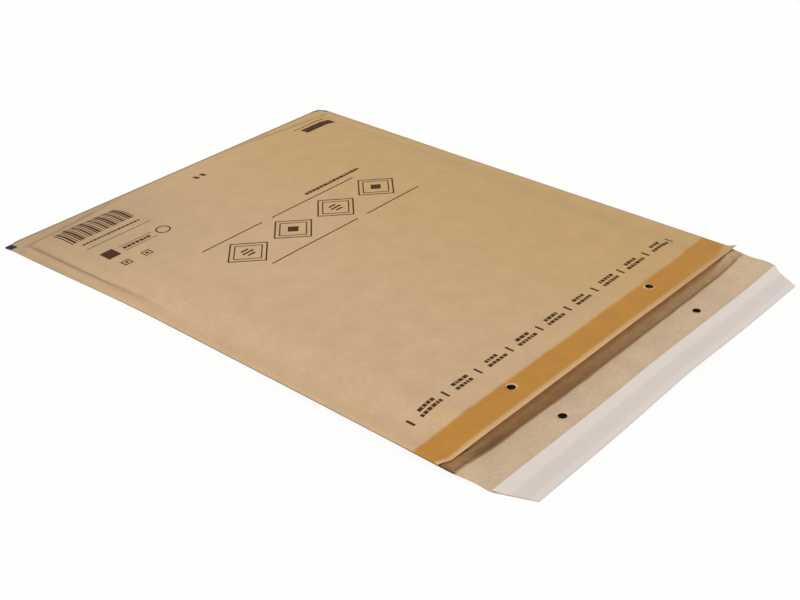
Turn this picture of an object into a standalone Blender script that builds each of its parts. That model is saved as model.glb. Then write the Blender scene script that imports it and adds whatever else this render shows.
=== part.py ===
"""Bubble mailer: a kraft sheet folded into an envelope, lined with bubble film.

The mailer lies on its back panel, printed side up. X runs across its width, Y from the flap
to the closed fold, Z up. The origin is under the middle of the whole blank.
"""
import math

import bmesh
import bpy
from mathutils import Matrix, Vector

# Driving dimensions of the kraft blank, in metres.
BODY_WIDTH = 0.290
PANEL_LENGTH = 0.374
FLAP_REACH = 0.046
FLAP_SIDE_INSET = 0.0035
DOG_EAR_LENGTH = 0.0205
DOG_EAR_NEAR = 0.009
DOG_EAR_FAR = 0.015
CORNER_ROUND_NEAR = 0.002
CORNER_ROUND_FAR = 0.008
KRAFT_THICKNESS = 0.0002

# Seams: the flat margins where the panels meet.
SIDE_SEAM_WIDTH = 0.008
CLOSED_MARGIN = 0.009
SEAM_EDGE_ROOM = 0.0003
SEAM_LIFT_CLOSED = 0.0004
SEAM_LIFT_MOUTH = 0.0030

# Bubble film lining.
FILM_THICKNESS = 0.0016
FILM_SEAM_THICKNESS = 0.00015
FILM_SEAM_SLIT = 0.0001
FILM_SIDE_INSET = 0.004
FILM_WELD_WIDTH = 0.004
FILM_FRONT_SETBACK = 0.004
FILM_BACK_REACH = 0.004
FILM_EDGE_CRUSH = 0.45
FILM_FOLD_SETBACK = 0.015
CLEARANCE = 0.00025

# How far the empty pouch stands open.
MOUTH_GAP = 0.0043
CLOSED_GAP = 0.0008
GAP_RUN = 0.260
CROWN = 0.0008
SIDE_RAMP_CLOSED = 0.018
SIDE_RAMP_MOUTH = 0.030
END_RAMP = 0.020
LIP_DROP = 0.0018

# Ends of the lip: both are drawn back, the near corner more, and the far corner stands up.
LIP_END_BACK = 0.0031
LIP_CORNER_LENGTH = 0.009
LIP_CORNER_BACK = 0.0014
LIP_CORNER_RUN = 0.012
LOOSE_CORNER_LIFT = 0.0026
LOOSE_CORNER_RUN = 0.009

# Glue bands at the mouth.
GLUE_BAND_WIDTH = 0.013
GLUE_THICKNESS = 0.00015
GLUE_RECESS = 0.0003
GLUE_CLEARANCE = 0.0002
GLUE_BACK_REACH = 0.005

# Flap closure.
FLAP_LIFT = 0.0012
FLAP_RISE_LENGTH = 0.022
ADHESIVE_THICKNESS = 0.0001
ADHESIVE_WIDTH = 0.012
ADHESIVE_EDGE = 0.004
ADHESIVE_SIDE_INSET = 0.005
RELEASE_THICKNESS = 0.0001

# Punched holes: one pair through the front of the pouch, one through the flap.
HOLE_DIAMETER = 0.0050
HOLE_SPACING = 0.135
FRONT_HOLE_SHIFT = -0.0055
FRONT_HOLE_FROM_LIP = 0.015
FLAP_HOLE_FROM_LIP = 0.0146
HOLE_SIDES = 20

# Grid that the sheets are folded on: columns at these distances from the middle line.
FLAT_COLUMNS = 5
RAMP_COLUMNS = 6
BODY_ROWS = 9
END_ROWS = 5
CORNER_ROWS = 4
FOLD_STEPS = 6

HALF_WIDTH = BODY_WIDTH / 2
CLOSED_Y = (PANEL_LENGTH + FLAP_REACH) / 2
LIP_Y = CLOSED_Y - PANEL_LENGTH
FLAP_END_Y = -CLOSED_Y
DOG_EAR_Y = FLAP_END_Y + DOG_EAR_LENGTH
SEAM_X = HALF_WIDTH - SIDE_SEAM_WIDTH
RAMP_X = SEAM_X - SIDE_RAMP_MOUTH
RAMP_STEP = SIDE_RAMP_MOUTH / RAMP_COLUMNS
MARGIN_Y = CLOSED_Y - CLOSED_MARGIN
FILM_HALF_WIDTH = HALF_WIDTH - FILM_SIDE_INSET
FILM_FRONT_Y = LIP_Y + FILM_FRONT_SETBACK
FILM_BACK_Y = LIP_Y - FILM_BACK_REACH
FILM_FOLD_Y = CLOSED_Y - FILM_FOLD_SETBACK
GLUE_END_Y = FILM_FRONT_Y + GLUE_BAND_WIDTH
SEAM_ROOM = 2 * (CLEARANCE + FILM_SEAM_THICKNESS) + FILM_SEAM_SLIT
FOLD_Y = CLOSED_Y - SEAM_ROOM / 2 - KRAFT_THICKNESS


def rise(amount):
    """A smooth step from 0 to 1."""
    amount = min(max(amount, 0.0), 1.0)
    return amount * amount * (3 - 2 * amount)


def spread(start, end, steps):
    """Evenly spaced values from start to end, both included."""
    return [start + (end - start) * step / steps for step in range(steps + 1)]


def side_ramp(y):
    """Width of the slope beside the seams: it gets longer towards the mouth."""
    return SIDE_RAMP_CLOSED + (SIDE_RAMP_MOUTH - SIDE_RAMP_CLOSED) * rise((CLOSED_Y - y) / PANEL_LENGTH)


def fullness(x, y):
    """0 in the flat seams, 1 where the padding has its whole thickness."""
    return rise((SEAM_X - abs(x)) / side_ramp(y)) * rise((MARGIN_Y - y) / END_RAMP)


def pouch_gap(x, y):
    """Height of the empty space between the two layers of film, away from the seams."""
    along = rise((MARGIN_Y - y) / GAP_RUN)
    bulge = math.sin(math.pi * rise((y - LIP_Y) / PANEL_LENGTH)) * (1 - (x / SEAM_X) ** 2)
    return CLOSED_GAP + (MOUTH_GAP - CLOSED_GAP) * along + CROWN * max(bulge, 0.0)


def room(x, y):
    """Height between the inner faces of the front and the back panel, pinched past the film."""
    full = 2 * (FILM_THICKNESS + CLEARANCE) + pouch_gap(x, y)
    pinch = (SEAM_ROOM - SEAM_EDGE_ROOM) * rise((abs(x) - FILM_HALF_WIDTH) / FILM_SIDE_INSET)
    return SEAM_ROOM + fullness(x, y) * (full - SEAM_ROOM) - pinch


def film_gap(x, y):
    """Height between the inner faces of the folded film."""
    side = rise((SEAM_X - FILM_WELD_WIDTH - abs(x)) / side_ramp(y))
    end = rise((MARGIN_Y - FILM_WELD_WIDTH - y) / END_RAMP)
    return FILM_SEAM_SLIT + side * end * (pouch_gap(x, y) - FILM_SEAM_SLIT)


def underside(x, y):
    """Lowest face of the back panel and flap: flat in the middle, lifted along the seams."""
    along = rise((CLOSED_Y - y) / PANEL_LENGTH)
    seam_lift = SEAM_LIFT_CLOSED + (SEAM_LIFT_MOUTH - SEAM_LIFT_CLOSED) * along
    past_lip = rise((LIP_Y - y) / FLAP_RISE_LENGTH)
    return seam_lift * (1 - fullness(x, y)) * (1 - past_lip) + FLAP_LIFT * past_lip


def back_inside(x, y):
    return underside(x, y) + KRAFT_THICKNESS


def loose_corner(x, y):
    """Lift of the far corner of the front panel, where the seam has come open at the lip."""
    across = rise((x - SEAM_X + 0.004) / (SIDE_SEAM_WIDTH + 0.004))
    return LOOSE_CORNER_LIFT * across * rise((LIP_Y + LOOSE_CORNER_RUN - y) / LOOSE_CORNER_RUN)


def front_inside(x, y):
    """Inner face of the front panel, bent down a little over the last millimetres to the lip."""
    drop = LIP_DROP * rise((FILM_FRONT_Y - y) / FILM_FRONT_SETBACK) * fullness(x, y)
    return back_inside(x, y) + room(x, y) - drop + loose_corner(x, y)


def lip_setback(x, y):
    """How far the ends of the lip are drawn back towards the closed end."""
    ends = LIP_END_BACK * (1 - rise((SEAM_X - abs(x)) / SIDE_RAMP_MOUTH))
    corner = LIP_CORNER_BACK * rise((LIP_CORNER_LENGTH - HALF_WIDTH - x) / LIP_CORNER_LENGTH)
    return (ends + corner) * (1 - rise((y - LIP_Y) / LIP_CORNER_RUN))


def film_recess(x, y):
    """The film is pressed back a little where the glue bands lie."""
    along = rise((GLUE_END_Y + FILM_WELD_WIDTH - y) / FILM_WELD_WIDTH)
    return GLUE_RECESS * along * rise((SEAM_X - abs(x)) / RAMP_STEP)


def half_width(y, side):
    """Half width of the blank at y: side is -1 for the near edge, 1 for the far edge."""
    corner = CORNER_ROUND_NEAR if side < 0 else CORNER_ROUND_FAR
    dog_ear = DOG_EAR_NEAR if side < 0 else DOG_EAR_FAR
    into_corner = max(y - (FOLD_Y - corner), 0.0)
    width = HALF_WIDTH - corner + math.sqrt(max(corner ** 2 - into_corner ** 2, 0.0))
    width -= FLAP_SIDE_INSET * rise((LIP_Y - y) / FILM_BACK_REACH)
    width -= dog_ear * max(DOG_EAR_Y - y, 0.0) / DOG_EAR_LENGTH
    return width


def columns(*outermost):
    """Column distances from the near edge to the far edge, dense over the side ramps."""
    half = spread(0.0, RAMP_X, FLAT_COLUMNS) + spread(RAMP_X, SEAM_X, RAMP_COLUMNS)[1:]
    half += outermost
    return [-x for x in reversed(half[1:])] + half


def body_rows(first, last):
    """Row positions along the pouch, dense at the glue bands and over the closed end."""
    rows = [GLUE_END_Y, GLUE_END_Y + FILM_WELD_WIDTH]
    rows += spread(GLUE_END_Y + FILM_WELD_WIDTH, MARGIN_Y - END_RAMP, BODY_ROWS)[1:]
    rows += spread(MARGIN_Y - END_RAMP, MARGIN_Y, END_ROWS)[1:]
    turns = spread(0.0, math.pi / 2, CORNER_ROWS)
    rows += [FOLD_Y - CORNER_ROUND_FAR * (1 - math.sin(turn)) for turn in turns]
    rows += [LIP_Y, FILM_FRONT_Y, (FILM_FRONT_Y + GLUE_END_Y) / 2]
    return sorted({first, last} | {y for y in rows if first < y < last})


def flap_rows():
    return spread(FILM_BACK_Y, DOG_EAR_Y, 4)[1:] + spread(DOG_EAR_Y, FLAP_END_Y, 2)[1:]


def sheet(name, across, stations, place, colour):
    """A closed slab on a grid: place(x, station, outside) puts each corner of both faces."""
    bm = bmesh.new()
    bmesh.ops.create_grid(bm, x_segments=len(across) - 1, y_segments=len(stations) - 1, size=1.0)
    bmesh.ops.triangulate(bm, faces=bm.faces[:], quad_method="FIXED")
    grown = bmesh.ops.extrude_face_region(bm, geom=bm.faces[:])["geom"]
    outer = {item for item in grown if isinstance(item, bmesh.types.BMVert)}
    for corner in bm.verts:
        column = round((corner.co.x + 1) / 2 * (len(across) - 1))
        station = round((corner.co.y + 1) / 2 * (len(stations) - 1))
        corner.co = place(across[column], stations[station], corner in outer)
    return finish(name, bm, colour)


def finish(name, bm, colour):
    """Turns a bmesh into a named object with its own material."""
    bmesh.ops.recalc_face_normals(bm, faces=bm.faces[:])
    mesh = bpy.data.meshes.new(name)
    bm.to_mesh(mesh)
    bm.free()
    mesh.shade_smooth()
    mesh.set_sharp_from_angle(angle=math.radians(35))
    mesh.materials.append(plain_material(name, *colour))
    body = bpy.data.objects.new(name, mesh)
    bpy.context.scene.collection.objects.link(body)
    return body


def plain_material(name, red, green, blue, roughness):
    """A Principled material from an sRGB colour."""
    material = bpy.data.materials.new(name)
    material.use_nodes = True
    shader = material.node_tree.nodes["Principled BSDF"]
    linear = [((value + 0.055) / 1.055) ** 2.4 for value in (red, green, blue)]
    shader.inputs["Base Color"].default_value = (*linear, 1.0)
    shader.inputs["Roughness"].default_value = roughness
    shader.inputs["Metallic"].default_value = 0.0
    return material


def kraft_envelope():
    """The folded kraft sheet: lip, front panel, closed fold, back panel, flap."""
    stations = [("front", y) for y in body_rows(LIP_Y, FOLD_Y)]
    stations += [("fold", angle) for angle in spread(math.pi / 2, -math.pi / 2, FOLD_STEPS)[1:-1]]
    stations += [("back", y) for y in reversed(body_rows(FILM_BACK_Y, FOLD_Y))]
    stations += [("back", y) for y in flap_rows()]

    def place(column, station, outside):
        panel, value = station
        y = FOLD_Y if panel == "fold" else value
        x = column * half_width(y, column) / HALF_WIDTH
        skin = KRAFT_THICKNESS if outside else 0.0
        if panel == "front":
            y += lip_setback(x, y)
            return Vector((x, y, front_inside(x, y) + skin))
        if panel == "back":
            return Vector((x, y, back_inside(x, y) - skin))
        radius = room(x, y) / 2
        middle = back_inside(x, y) + radius
        reach = radius + skin
        return Vector((x, y + reach * math.cos(value), middle + reach * math.sin(value)))

    across = columns(FILM_HALF_WIDTH, HALF_WIDTH)
    return sheet("kraft_envelope", across, stations, place, (0.77, 0.65, 0.48, 0.85))


def bubble_liner():
    """The bubble film: one web folded at the closed end, its sides thin in the seams."""
    stations = [("front", y) for y in body_rows(FILM_FRONT_Y, FILM_FOLD_Y)]
    stations += [("fold", angle) for angle in spread(math.pi / 2, -math.pi / 2, FOLD_STEPS)[1:-1]]
    stations += [("back", y) for y in reversed(body_rows(FILM_BACK_Y, FILM_FOLD_Y))]

    def place(x, station, outside):
        panel, value = station
        y = FILM_FOLD_Y if panel == "fold" else value
        top = back_inside(x, y) + room(x, y) - CLEARANCE - film_recess(x, y)
        bottom = back_inside(x, y) + CLEARANCE + film_recess(x, y)
        middle = back_inside(x, y) + room(x, y) / 2
        half_gap = film_gap(x, y) / 2
        if panel == "front":
            return Vector((x, y, top if outside else middle + half_gap))
        if panel == "back":
            crush = FILM_EDGE_CRUSH * rise((FILM_FRONT_Y - y) / (FILM_FRONT_Y - FILM_BACK_Y))
            inner = middle - half_gap
            return Vector((x, y, bottom if outside else inner - crush * (inner - bottom)))
        reach = (top - bottom) / 2 if outside else half_gap
        return Vector((x, y + reach * math.cos(value), middle + reach * math.sin(value)))

    return sheet("bubble_liner", columns(FILM_HALF_WIDTH), stations, place, (0.88, 0.89, 0.88, 0.25))


def glue_band(name, panel, first, last):
    """A hot-melt band between the film and one panel, running across the mouth."""
    across = columns(FILM_HALF_WIDTH)[2:-2]

    def place(x, y, outside):
        depth = GLUE_CLEARANCE + (0.0 if outside else GLUE_THICKNESS)
        if panel == "front":
            y += lip_setback(x, y)
            return Vector((x, y, back_inside(x, y) + room(x, y) - depth))
        return Vector((x, y, back_inside(x, y) + depth))

    return sheet(name, across, body_rows(first, last), place, (0.72, 0.51, 0.23, 0.45))


def flap_outline(first, last, side_inset):
    """The flap's outline between two distances, near corners first."""
    rows = [first, last]
    if min(rows) < DOG_EAR_Y < max(rows):
        rows.insert(1, DOG_EAR_Y)
    near = [(side_inset - half_width(y, -1), y) for y in rows]
    far = [(half_width(y, 1) - side_inset, y) for y in reversed(rows)]
    return near + far


def flat_strip(name, outline, base, thickness, colour):
    """A flat strip cut to an outline, lying at a height."""
    bm = bmesh.new()
    face = bm.faces.new([bm.verts.new((x, y, base)) for x, y in outline])
    grown = bmesh.ops.extrude_face_region(bm, geom=[face])["geom"]
    for corner in grown:
        if isinstance(corner, bmesh.types.BMVert):
            corner.co.z = base + thickness
    return finish(name, bm, colour)


def flap_closure():
    """The adhesive strip on the flap and the release liner over it, face to face."""
    flap_top = FLAP_LIFT + KRAFT_THICKNESS
    adhesive_y = FLAP_END_Y + ADHESIVE_EDGE
    outline = flap_outline(adhesive_y + ADHESIVE_WIDTH, adhesive_y, ADHESIVE_SIDE_INSET)
    flat_strip("flap_adhesive_strip", outline, flap_top, ADHESIVE_THICKNESS, (0.87, 0.81, 0.66, 0.3))
    outline = flap_outline(DOG_EAR_Y, FLAP_END_Y, 0.0)
    adhesive_top = flap_top + ADHESIVE_THICKNESS
    flat_strip("release_liner", outline, adhesive_top, RELEASE_THICKNESS, (0.84, 0.81, 0.78, 0.4))


def punch(bodies, shift, y, low, high):
    """Punches a pair of round holes through the bodies, between two heights."""
    for side in (-1, 1):
        bm = bmesh.new()
        middle = Matrix.Translation((shift + side * HOLE_SPACING / 2, y, (low + high) / 2))
        bmesh.ops.create_cone(
            bm, cap_ends=True, segments=HOLE_SIDES, radius1=HOLE_DIAMETER / 2,
            radius2=HOLE_DIAMETER / 2, depth=high - low, matrix=middle)
        cutter = finish("hole_punch", bm, (0.5, 0.5, 0.5, 0.5))
        cutter.hide_render = True
        cutter.display_type = "WIRE"
        for body in bodies:
            cut = body.modifiers.new("punched hole", "BOOLEAN")
            cut.operation = "DIFFERENCE"
            cut.solver = "EXACT"
            cut.object = cutter


def main():
    for old in list(bpy.data.objects):
        bpy.data.objects.remove(old)
    envelope = kraft_envelope()
    liner = bubble_liner()
    front_glue = glue_band("glue_band_front", "front", FILM_FRONT_Y, GLUE_END_Y)
    glue_band("glue_band_back", "back", LIP_Y - GLUE_BACK_REACH, GLUE_END_Y)
    flap_closure()
    pouch_middle = KRAFT_THICKNESS + CLEARANCE + FILM_THICKNESS + MOUTH_GAP / 2
    front_top = 2 * pouch_middle + CROWN
    front_y = LIP_Y + FRONT_HOLE_FROM_LIP
    flap_y = LIP_Y - FLAP_HOLE_FROM_LIP
    punch([envelope, liner, front_glue], FRONT_HOLE_SHIFT, front_y, pouch_middle, front_top)
    punch([envelope], 0.0, flap_y, -FLAP_LIFT, pouch_middle)


main()
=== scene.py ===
"""The looks of a kraft bubble mailer: paper, bubble film, glue, release liner and print.

The mailer lies on its back panel, printed side up. X runs across its width, Y from the flap
to the closed fold, Z up. Lengths are metres, and each piece is modelled in its own place.
"""
import math
import random

import bmesh
import bpy
from bpy.props import FloatProperty, FloatVectorProperty, IntProperty, PointerProperty
from mathutils import Matrix, Vector, noise


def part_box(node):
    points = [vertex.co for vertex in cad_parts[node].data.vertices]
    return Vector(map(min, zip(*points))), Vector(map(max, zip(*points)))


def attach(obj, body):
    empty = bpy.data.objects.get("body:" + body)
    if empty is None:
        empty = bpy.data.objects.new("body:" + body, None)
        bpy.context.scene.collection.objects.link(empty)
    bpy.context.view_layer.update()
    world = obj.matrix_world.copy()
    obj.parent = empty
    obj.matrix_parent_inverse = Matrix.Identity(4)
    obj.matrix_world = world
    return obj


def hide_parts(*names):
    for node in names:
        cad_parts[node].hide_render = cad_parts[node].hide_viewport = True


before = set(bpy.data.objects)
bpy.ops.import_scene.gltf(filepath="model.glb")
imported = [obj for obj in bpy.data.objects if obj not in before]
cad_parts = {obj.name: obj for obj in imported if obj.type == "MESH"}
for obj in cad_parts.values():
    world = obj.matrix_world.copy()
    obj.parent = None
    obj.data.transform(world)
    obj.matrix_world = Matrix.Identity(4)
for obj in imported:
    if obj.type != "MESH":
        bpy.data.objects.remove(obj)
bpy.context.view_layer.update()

bl_info = {
    "name": "Kraft Bubble Mailer",
    "version": (1, 0, 0),
    "blender": (4, 5, 0),
    "location": "View3D > Sidebar > Mailer",
    "description": "Builds a kraft envelope with a bubble film lining, print and a self-seal flap",
    "category": "Add Mesh",
}

# Outlines that come from the frame.
PAPER_LOW, PAPER_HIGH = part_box("kraft_envelope")
FILM_LOW, FILM_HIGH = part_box("bubble_liner")
FRONT_GLUE_LOW, FRONT_GLUE_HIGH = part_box("glue_band_front")
BACK_GLUE_LOW, BACK_GLUE_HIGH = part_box("glue_band_back")
SEAL_LOW, SEAL_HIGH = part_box("flap_adhesive_strip")
RELEASE_LOW, RELEASE_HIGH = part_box("release_liner")

HALF_WIDTH = PAPER_HIGH.x
CLOSED_Y = PAPER_HIGH.y
FLAP_END_Y = PAPER_LOW.y
DOG_EAR_Y = RELEASE_HIGH.y
FILM_FRONT_Y = FRONT_GLUE_LOW.y
FILM_BACK_Y = FILM_LOW.y
GLUE_END_Y = FRONT_GLUE_HIGH.y

# The blank and its seams.
KRAFT_THICKNESS = 0.0002
FILM_FRONT_SETBACK = 0.004
LIP_Y = FILM_FRONT_Y - FILM_FRONT_SETBACK
PANEL_LENGTH = CLOSED_Y - LIP_Y
FLAP_NEAR_INSET = 0.0050
FLAP_FAR_INSET = 0.0035
NEAR_DRAW_IN = 0.0014
FAR_DRAW_IN = 0.0018
FAR_DRAW_START = 0.120
FAR_DRAW_RUN = 0.260
BACK_SET_IN_LEAD = 0.010
SET_IN_NEAR_RUN = 0.014
FLAP_FAR_BULGE = 0.85
FLAP_FAR_CURL = 0.0018
LINER_SLANT = 0.0014
DOG_EAR_LENGTH = DOG_EAR_Y - FLAP_END_Y
DOG_EAR_NEAR = 0.009
DOG_EAR_FAR = 0.0122
CLOSED_FLARE_START = 0.060
CLOSED_FLARE_RUN = CLOSED_Y - 0.045
CLOSED_TIP_SHARE = 0.2
CLOSED_TIP_RUN = 0.010
FAR_FLARE = 0.0010
FAR_FLARE_START = 0.050
FAR_FLARE_RUN = 0.120
CORNER_ROUND_NEAR = 0.001
CORNER_ROUND_FAR = 0.008
SIDE_SEAM_WIDTH = 0.008
CLOSED_MARGIN = 0.009
SEAM_EDGE_ROOM = 0.0001
SEAM_LIFT_CLOSED = 0.0004
SEAM_LIFT_MOUTH = 0.0030
SEAM_X = HALF_WIDTH - SIDE_SEAM_WIDTH
MARGIN_Y = CLOSED_Y - CLOSED_MARGIN

# The film and the room that it fills.
FILM_THICKNESS = 0.0016
FILM_SEAM_THICKNESS = 0.00015
FILM_SEAM_SLIT = 0.0001
FILM_HALF_WIDTH = FILM_HIGH.x
FILM_WELD_WIDTH = 0.004
FILM_EDGE_CRUSH = 0.9
FILM_FOLD_Y = CLOSED_Y - 0.015
FILM_CLEARANCE = 0.00025
SEAM_ROOM = 2 * (FILM_CLEARANCE + FILM_SEAM_THICKNESS) + FILM_SEAM_SLIT
FOLD_Y = CLOSED_Y - SEAM_ROOM / 2 - KRAFT_THICKNESS
MOUTH_GAP = 0.0043
CLOSED_GAP = 0.0008
GAP_RUN = 0.260
CROWN = 0.0008
SIDE_RAMP_CLOSED = 0.018
SIDE_RAMP_MOUTH = 0.030
END_RAMP = 0.020

# Ends of the lip: both are drawn back, the near corner more, and the far corner stands up.
LIP_END_BACK = 0.0031
LIP_CORNER_LENGTH = 0.009
LIP_CORNER_BACK = 0.0034
LIP_CORNER_RUN = 0.016
LOOSE_CORNER_RUN = 0.009
LOOSE_CORNER_OUT = 0.0008
LOOSE_CORNER_DOWN = 0.0018

# Glue bands and flap.
GLUE_THICKNESS = 0.00015
GLUE_RECESS = 0.0003
GLUE_CLEARANCE = 0.0002
GLUE_RAMP = 0.005
FLAP_LIFT = SEAL_LOW.z - KRAFT_THICKNESS
FLAP_RISE_LENGTH = 0.022
FLAP_BOW_RUN = 0.044
FLAP_BOW_MIDDLE = 0.005
FLAP_BOW_WIDTH = 0.045
SEAL_SIDE_INSET = 0.003
SEAL_GAP = 0.00002

# Punched holes.
HOLE_DIAMETER = 0.0050
HOLE_SPACING = 0.135
HOLE_SIDES = 32
FRONT_HOLE_SHIFT = -0.0055
FRONT_HOLE_Y = LIP_Y + 0.015
FLAP_HOLE_Y = LIP_Y - 0.0146
PUNCH_TOP = PAPER_HIGH.z + 0.002

# Camera and light of the picture, which is taken to be 800 by 600 pixels.
PICTURE_WIDTH_PX = 800
FOCAL_LENGTH_PX = 1278.9
SENSOR_WIDTH_MM = 36.0
CAMERA_EYE = Vector((-0.52047, -0.48127, 0.40100))
CAMERA_AZIMUTH = math.radians(-47.47)
CAMERA_ELEVATION = math.radians(31.27)
CAMERA_ROLL = math.radians(-1.66)
FLOOR_REACH = 4.0
FLOOR_GLOW = 0.9
LAMP_STRENGTH = 1.63
LAMP_SPREAD = math.radians(30)
LAMP_TOWARDS = Vector((-0.75, -0.10, 1.0)).normalized()
LAMP_COLOUR = (1.0, 0.98, 0.95)
ROOM_COLOUR = (1.0, 0.985, 0.96)
ROOM_STRENGTH = 0.62


def linear(hex_colour):
    """An sRGB hex colour as linear red, green and blue."""
    shares = [int(hex_colour[place:place + 2], 16) / 255 for place in (0, 2, 4)]
    return tuple(v / 12.92 if v <= 0.04045 else ((v + 0.055) / 1.055) ** 2.4 for v in shares)


class MailerSizes(bpy.types.PropertyGroup):
    """Sizes of the mailer's surface detail."""

    paper_cell: FloatProperty(
        name="Paper cell", description="Spacing of the paper's mesh", default=0.0026, unit="LENGTH")
    wave_height: FloatProperty(
        name="Wave height", description="Height of the soft waves in the padded panel",
        default=0.0004, unit="LENGTH")
    wave_length: FloatProperty(
        name="Wave length", description="Distance between soft waves", default=0.075, unit="LENGTH")
    dimple_height: FloatProperty(
        name="Dimple height", description="How far a bubble shows through the paper",
        default=0.00012, unit="LENGTH")
    crease_depth: FloatProperty(
        name="Crease depth", description="Depth of the pressed line beside the seams",
        default=0.0009, unit="LENGTH")
    corner_curl: FloatProperty(
        name="Corner curl", description="Lift of the loose corner at the mouth",
        default=0.0034, unit="LENGTH")
    corner_flare: FloatProperty(
        name="Corner flare", description="How far the near closed corner spreads past the edge",
        default=0.0058, unit="LENGTH")
    bubble_diameter: FloatProperty(
        name="Bubble diameter", description="Diameter of an air bubble", default=0.010,
        unit="LENGTH")
    flap_bow: FloatProperty(
        name="Flap bow", description="Height of the bow in the middle of the flap's free edge",
        default=0.0022, unit="LENGTH")
    bubble_pitch: FloatProperty(
        name="Bubble pitch", description="Distance between bubbles in a row", default=0.0112,
        unit="LENGTH")
    stripe_count: IntProperty(
        name="Stripes", description="Bars in the printed stripe field", default=24, min=1)
    ink_lift: FloatProperty(
        name="Ink lift", description="Height of the ink over the paper", default=0.00005,
        unit="LENGTH")


COLOUR_SETTINGS = {"subtype": "COLOR", "min": 0.0, "max": 1.0}


class MailerColours(bpy.types.PropertyGroup):
    """Colours of the mailer's materials."""

    kraft: FloatVectorProperty(
        name="Kraft", description="Glazed outer face of the paper",
        default=linear("C3A480"), **COLOUR_SETTINGS)
    # Painted shade: the outer face takes this darker, yellower colour towards the far edge.
    kraft_far_shaded: FloatVectorProperty(
        name="Kraft, far side", description="Outer face of the paper towards the far edge",
        default=linear("BA9969"), **COLOUR_SETTINGS)
    kraft_inside: FloatVectorProperty(
        name="Kraft inside", description="Unglazed inner face of the paper",
        default=linear("C4AC91"), **COLOUR_SETTINGS)
    glue: FloatVectorProperty(
        name="Soaked glue", description="Outer face of the paper where glue has soaked through",
        default=linear("B17D32"), **COLOUR_SETTINGS)
    resin: FloatVectorProperty(
        name="Resin", description="Hot-melt glue seen in the mouth",
        default=linear("967049"), **COLOUR_SETTINGS)
    # Painted light: the glue takes this paler colour towards the far side of the mouth.
    resin_far_lit: FloatVectorProperty(
        name="Resin, far side", description="Hot-melt glue seen towards the far side, spread thinner",
        default=linear("BC9C76"), **COLOUR_SETTINGS)
    film: FloatVectorProperty(
        name="Film", description="Clear polyethylene",
        default=linear("E6E4DE"), **COLOUR_SETTINGS)
    release: FloatVectorProperty(
        name="Release liner", description="White siliconised paper",
        default=linear("CDC4BE"), **COLOUR_SETTINGS)
    ink: FloatVectorProperty(
        name="Ink", description="Dark brown printing ink",
        default=linear("34200F"), **COLOUR_SETTINGS)


def sizes():
    return bpy.context.scene.mailer_sizes


def colours():
    return bpy.context.scene.mailer_colours


# Shape of the pouch: heights of its faces over the floor.

def rise(amount):
    """A smooth step from 0 to 1."""
    amount = min(max(amount, 0.0), 1.0)
    return amount * amount * (3 - 2 * amount)


def swell(distance, width):
    """A soft bump: 1 at distance 0, fading out over a width on either side."""
    return math.exp(-(distance / width) ** 2)


def side_ramp(y):
    """Width of the slope beside the seams: it gets longer towards the mouth."""
    return SIDE_RAMP_CLOSED + (SIDE_RAMP_MOUTH - SIDE_RAMP_CLOSED) * rise((CLOSED_Y - y) / PANEL_LENGTH)


def fullness(x, y):
    """0 in the flat seams, 1 where the padding has its whole thickness."""
    return rise((SEAM_X - abs(x)) / side_ramp(y)) * rise((MARGIN_Y - y) / END_RAMP)


def pouch_gap(x, y):
    """Height of the empty space between the two layers of film, away from the seams."""
    along = rise((MARGIN_Y - y) / GAP_RUN)
    bulge = math.sin(math.pi * rise((y - LIP_Y) / PANEL_LENGTH)) * (1 - (x / SEAM_X) ** 2)
    return CLOSED_GAP + (MOUTH_GAP - CLOSED_GAP) * along + CROWN * max(bulge, 0.0)


def room(x, y):
    """Height between the inner faces of the front and the back panel, pinched past the film."""
    full = 2 * (FILM_THICKNESS + FILM_CLEARANCE) + pouch_gap(x, y)
    pinch = rise((abs(x) - FILM_HALF_WIDTH) / (HALF_WIDTH - FILM_HALF_WIDTH))
    pinch *= SEAM_ROOM - SEAM_EDGE_ROOM
    return SEAM_ROOM + fullness(x, y) * (full - SEAM_ROOM) - pinch


def film_gap(x, y):
    """Height between the inner faces of the folded film."""
    side = rise((SEAM_X - FILM_WELD_WIDTH - abs(x)) / side_ramp(y))
    end = rise((MARGIN_Y - FILM_WELD_WIDTH - y) / END_RAMP)
    return FILM_SEAM_SLIT + side * end * (pouch_gap(x, y) - FILM_SEAM_SLIT)


def underside(x, y):
    """Lowest face of the back panel and flap: flat in the middle, lifted along the seams.

    The flap is bowed up a little in its middle and lies down at both ends."""
    along = rise((CLOSED_Y - y) / PANEL_LENGTH)
    seam_lift = SEAM_LIFT_CLOSED + (SEAM_LIFT_MOUTH - SEAM_LIFT_CLOSED) * along
    past_lip = rise((LIP_Y - y) / FLAP_RISE_LENGTH)
    bow = sizes().flap_bow * swell(x - FLAP_BOW_MIDDLE, FLAP_BOW_WIDTH)
    bowed = FLAP_LIFT * 0.25 + bow * rise((LIP_Y - y) / FLAP_BOW_RUN)
    bowed += FLAP_FAR_CURL * rise((x - 0.110) / 0.035) * swell(y - DOG_EAR_Y - 0.006, 0.008)
    return seam_lift * (1 - fullness(x, y)) * (1 - past_lip) + bowed * past_lip


def bubble_rows(first, last):
    """Row positions of the close-packed bubbles, with each row's sideways shift."""
    step = sizes().bubble_pitch * math.sqrt(3) / 2
    count = int((last - first) / step) + 1
    return [(first + step * row, sizes().bubble_pitch / 2 * (row % 2)) for row in range(count)]


def over_bubble(x, y):
    """1 over the middle of a bubble, 0 between bubbles."""
    pitch = sizes().bubble_pitch
    step = pitch * math.sqrt(3) / 2
    row = round((y - FILM_FRONT_Y) / step)
    nearest = pitch
    for line in (row - 1, row, row + 1):
        shift = pitch / 2 * (line % 2)
        column = round((x - shift) / pitch) * pitch + shift
        nearest = min(nearest, math.hypot(x - column, y - FILM_FRONT_Y - line * step))
    return 1 - rise(nearest / (pitch / 2))


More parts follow.
